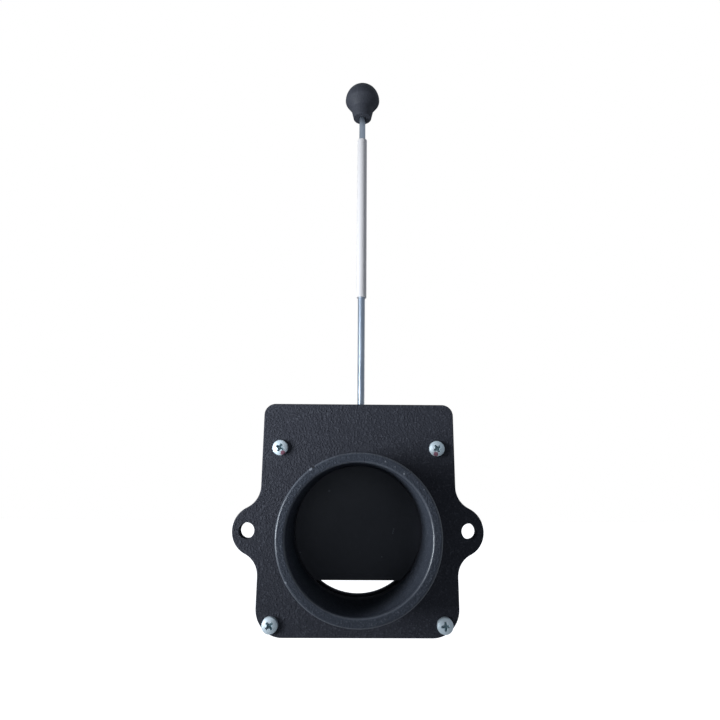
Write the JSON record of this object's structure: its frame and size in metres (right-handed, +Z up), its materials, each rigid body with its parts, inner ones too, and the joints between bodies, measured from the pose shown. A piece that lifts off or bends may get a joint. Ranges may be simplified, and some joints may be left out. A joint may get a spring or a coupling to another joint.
{
  "type": "stove pipe damper",
  "caption": "Black slide-gate damper for a stove pipe: eared flange plate with a round spigot and a blade raised by a long rod with a ball knob.",
  "frame": {"origin": "on the bore axis at the back plate's rear face", "axes": "+Z up along the blade's travel, -Y out of the spigot, +X to the right seen from the front"},
  "size_m": [0.1528, 0.07, 0.3837],
  "materials": {
    "black_paint": "finely textured matt black stove paint on steel",
    "blade_paint": "smoother matt black paint with rubbed specks",
    "zinc": "bright zinc plate",
    "white_plastic": "glossy white",
    "black_plastic": "matt black with a fine grain"
  },
  "bodies": {
    "housing": {"front_plate": "black_paint", "spigot": "black_paint", "spigot_weld": "black_paint", "guide_frame": "black_paint", "back_plate": "black_paint", "cover_screws": "zinc"},
    "gate": {"blade": "blade_paint", "lock_nut": "zinc", "pull_rod": "zinc", "rod_sleeve": "white_plastic", "ball_knob": "black_plastic"}
  },
  "joints": [
    {"name": "gate_slide", "type": "slide", "parent": "housing", "child": "gate", "axis": [0, 0, 1], "range_m": [-0.0118, 0.069]}
  ]
}
